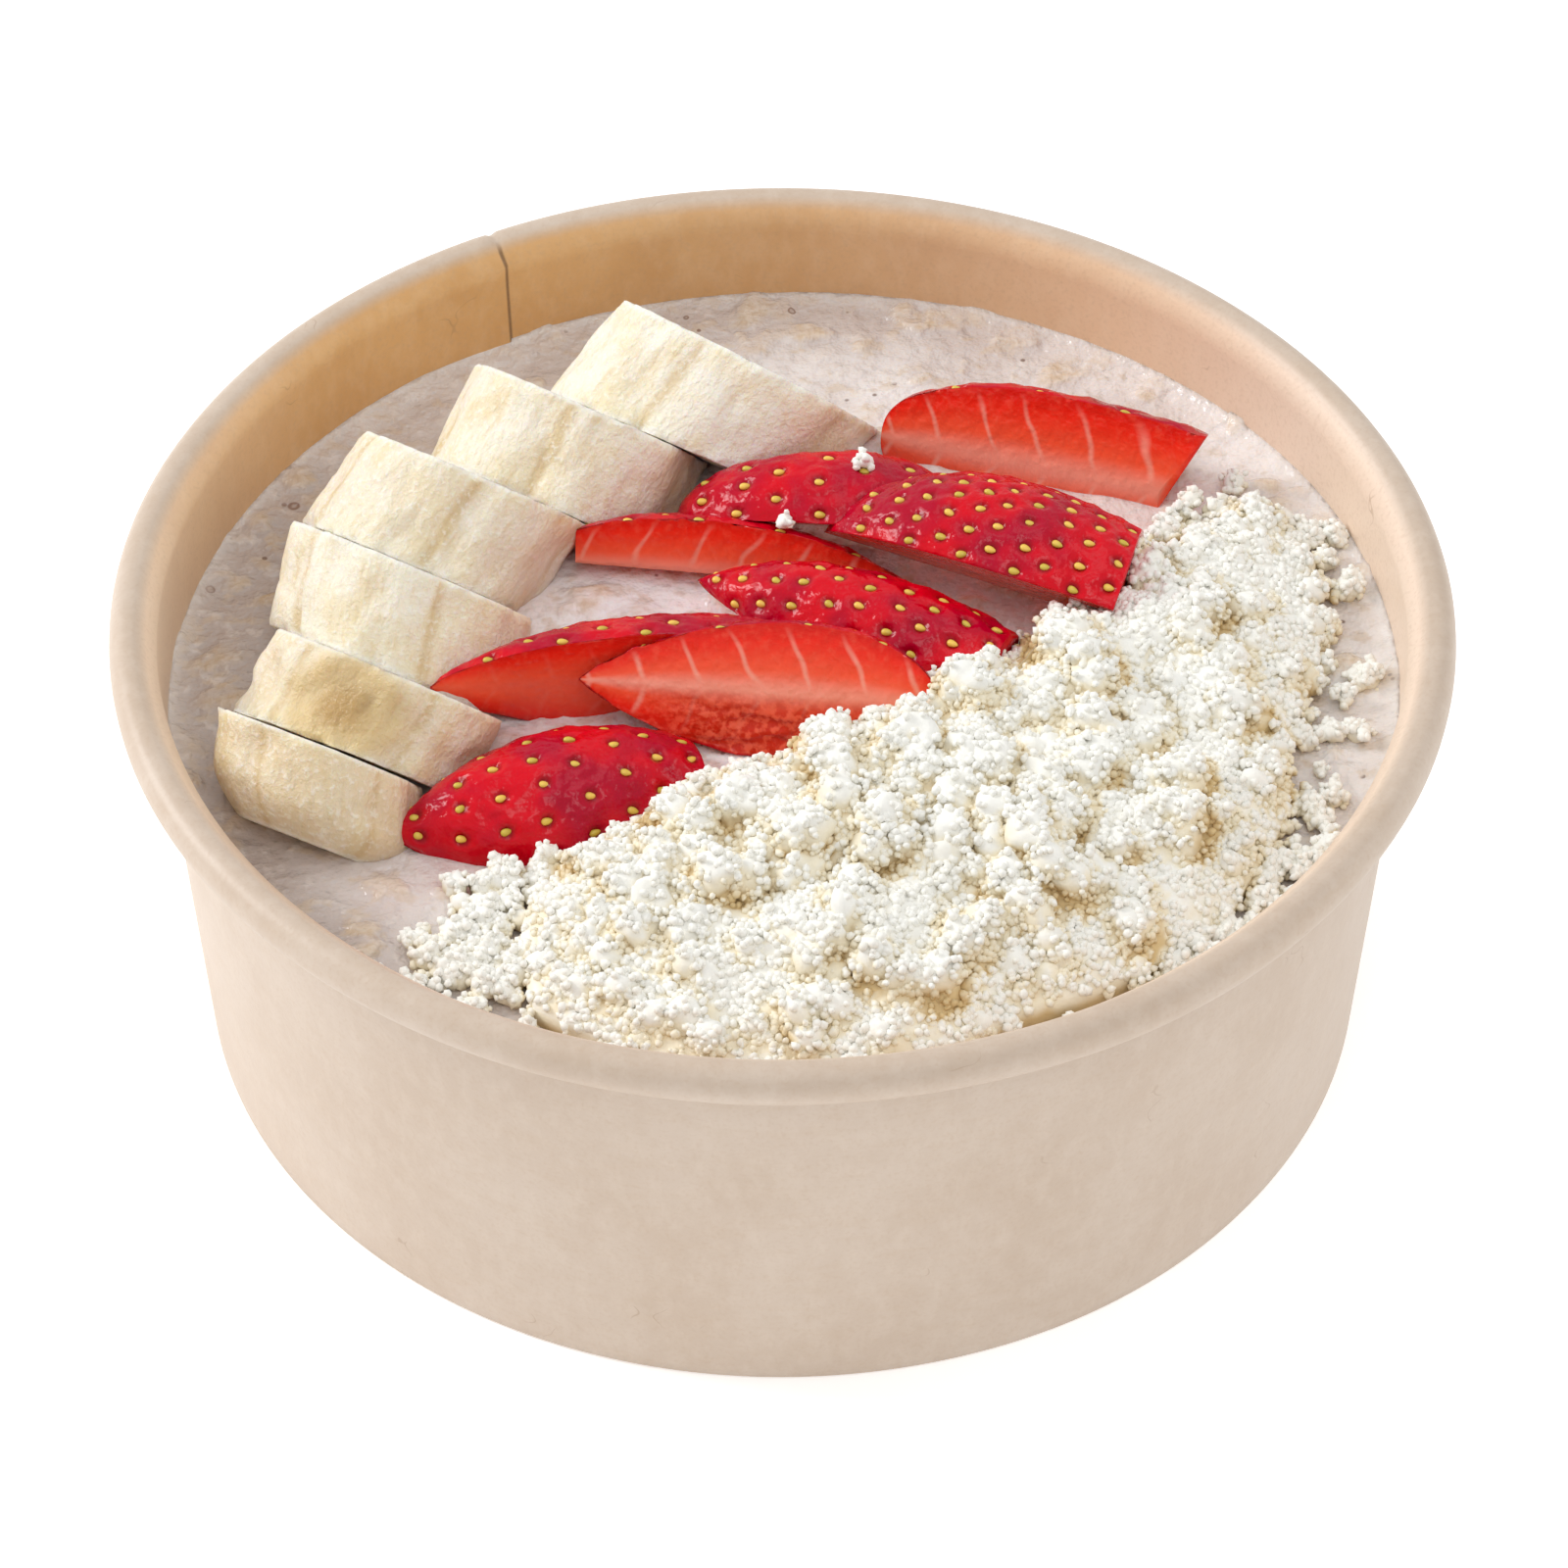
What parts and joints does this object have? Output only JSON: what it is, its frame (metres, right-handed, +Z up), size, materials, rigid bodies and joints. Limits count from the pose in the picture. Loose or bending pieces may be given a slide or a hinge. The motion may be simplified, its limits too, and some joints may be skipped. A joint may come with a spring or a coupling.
{
  "type": "bowl of porridge",
  "caption": "Round paper bowl filled with oat porridge, topped with leaning banana slices, strawberry wedges and a heap of white crumble.",
  "frame": {"origin": "centre of the bowl's foot, on the surface that it stands on", "axes": "+Z up along the bowl's axis; -Y is the side that the toppings face, +X is to the right seen from there"},
  "size_m": [0.15, 0.15, 0.0608],
  "materials": {
    "kraft_paper": "semi-gloss brown kraft paperboard, finely mottled",
    "oat_porridge": "wet milky oat porridge",
    "banana_flesh": "moist pale banana flesh with lengthwise fibres",
    "strawberry_flesh": "glossy red skin with pale seeds, wet orange-red cut faces",
    "white_crumble": "dry white crumbs with cream shadows"
  },
  "bodies": {
    "root": {"bowl_wall": "kraft_paper", "bowl_base": "kraft_paper", "porridge": "oat_porridge", "banana_slice_1": "banana_flesh", "banana_slice_2": "banana_flesh", "banana_slice_3": "banana_flesh", "banana_slice_4": "banana_flesh", "banana_slice_5": "banana_flesh", "banana_slice_6": "banana_flesh", "strawberry_1": "strawberry_flesh", "strawberry_2": "strawberry_flesh", "strawberry_3": "strawberry_flesh", "strawberry_4": "strawberry_flesh", "strawberry_5": "strawberry_flesh", "strawberry_6": "strawberry_flesh", "strawberry_7": "strawberry_flesh", "strawberry_8": "strawberry_flesh", "crumble_heap": "white_crumble"}
  },
  "joints": []
}
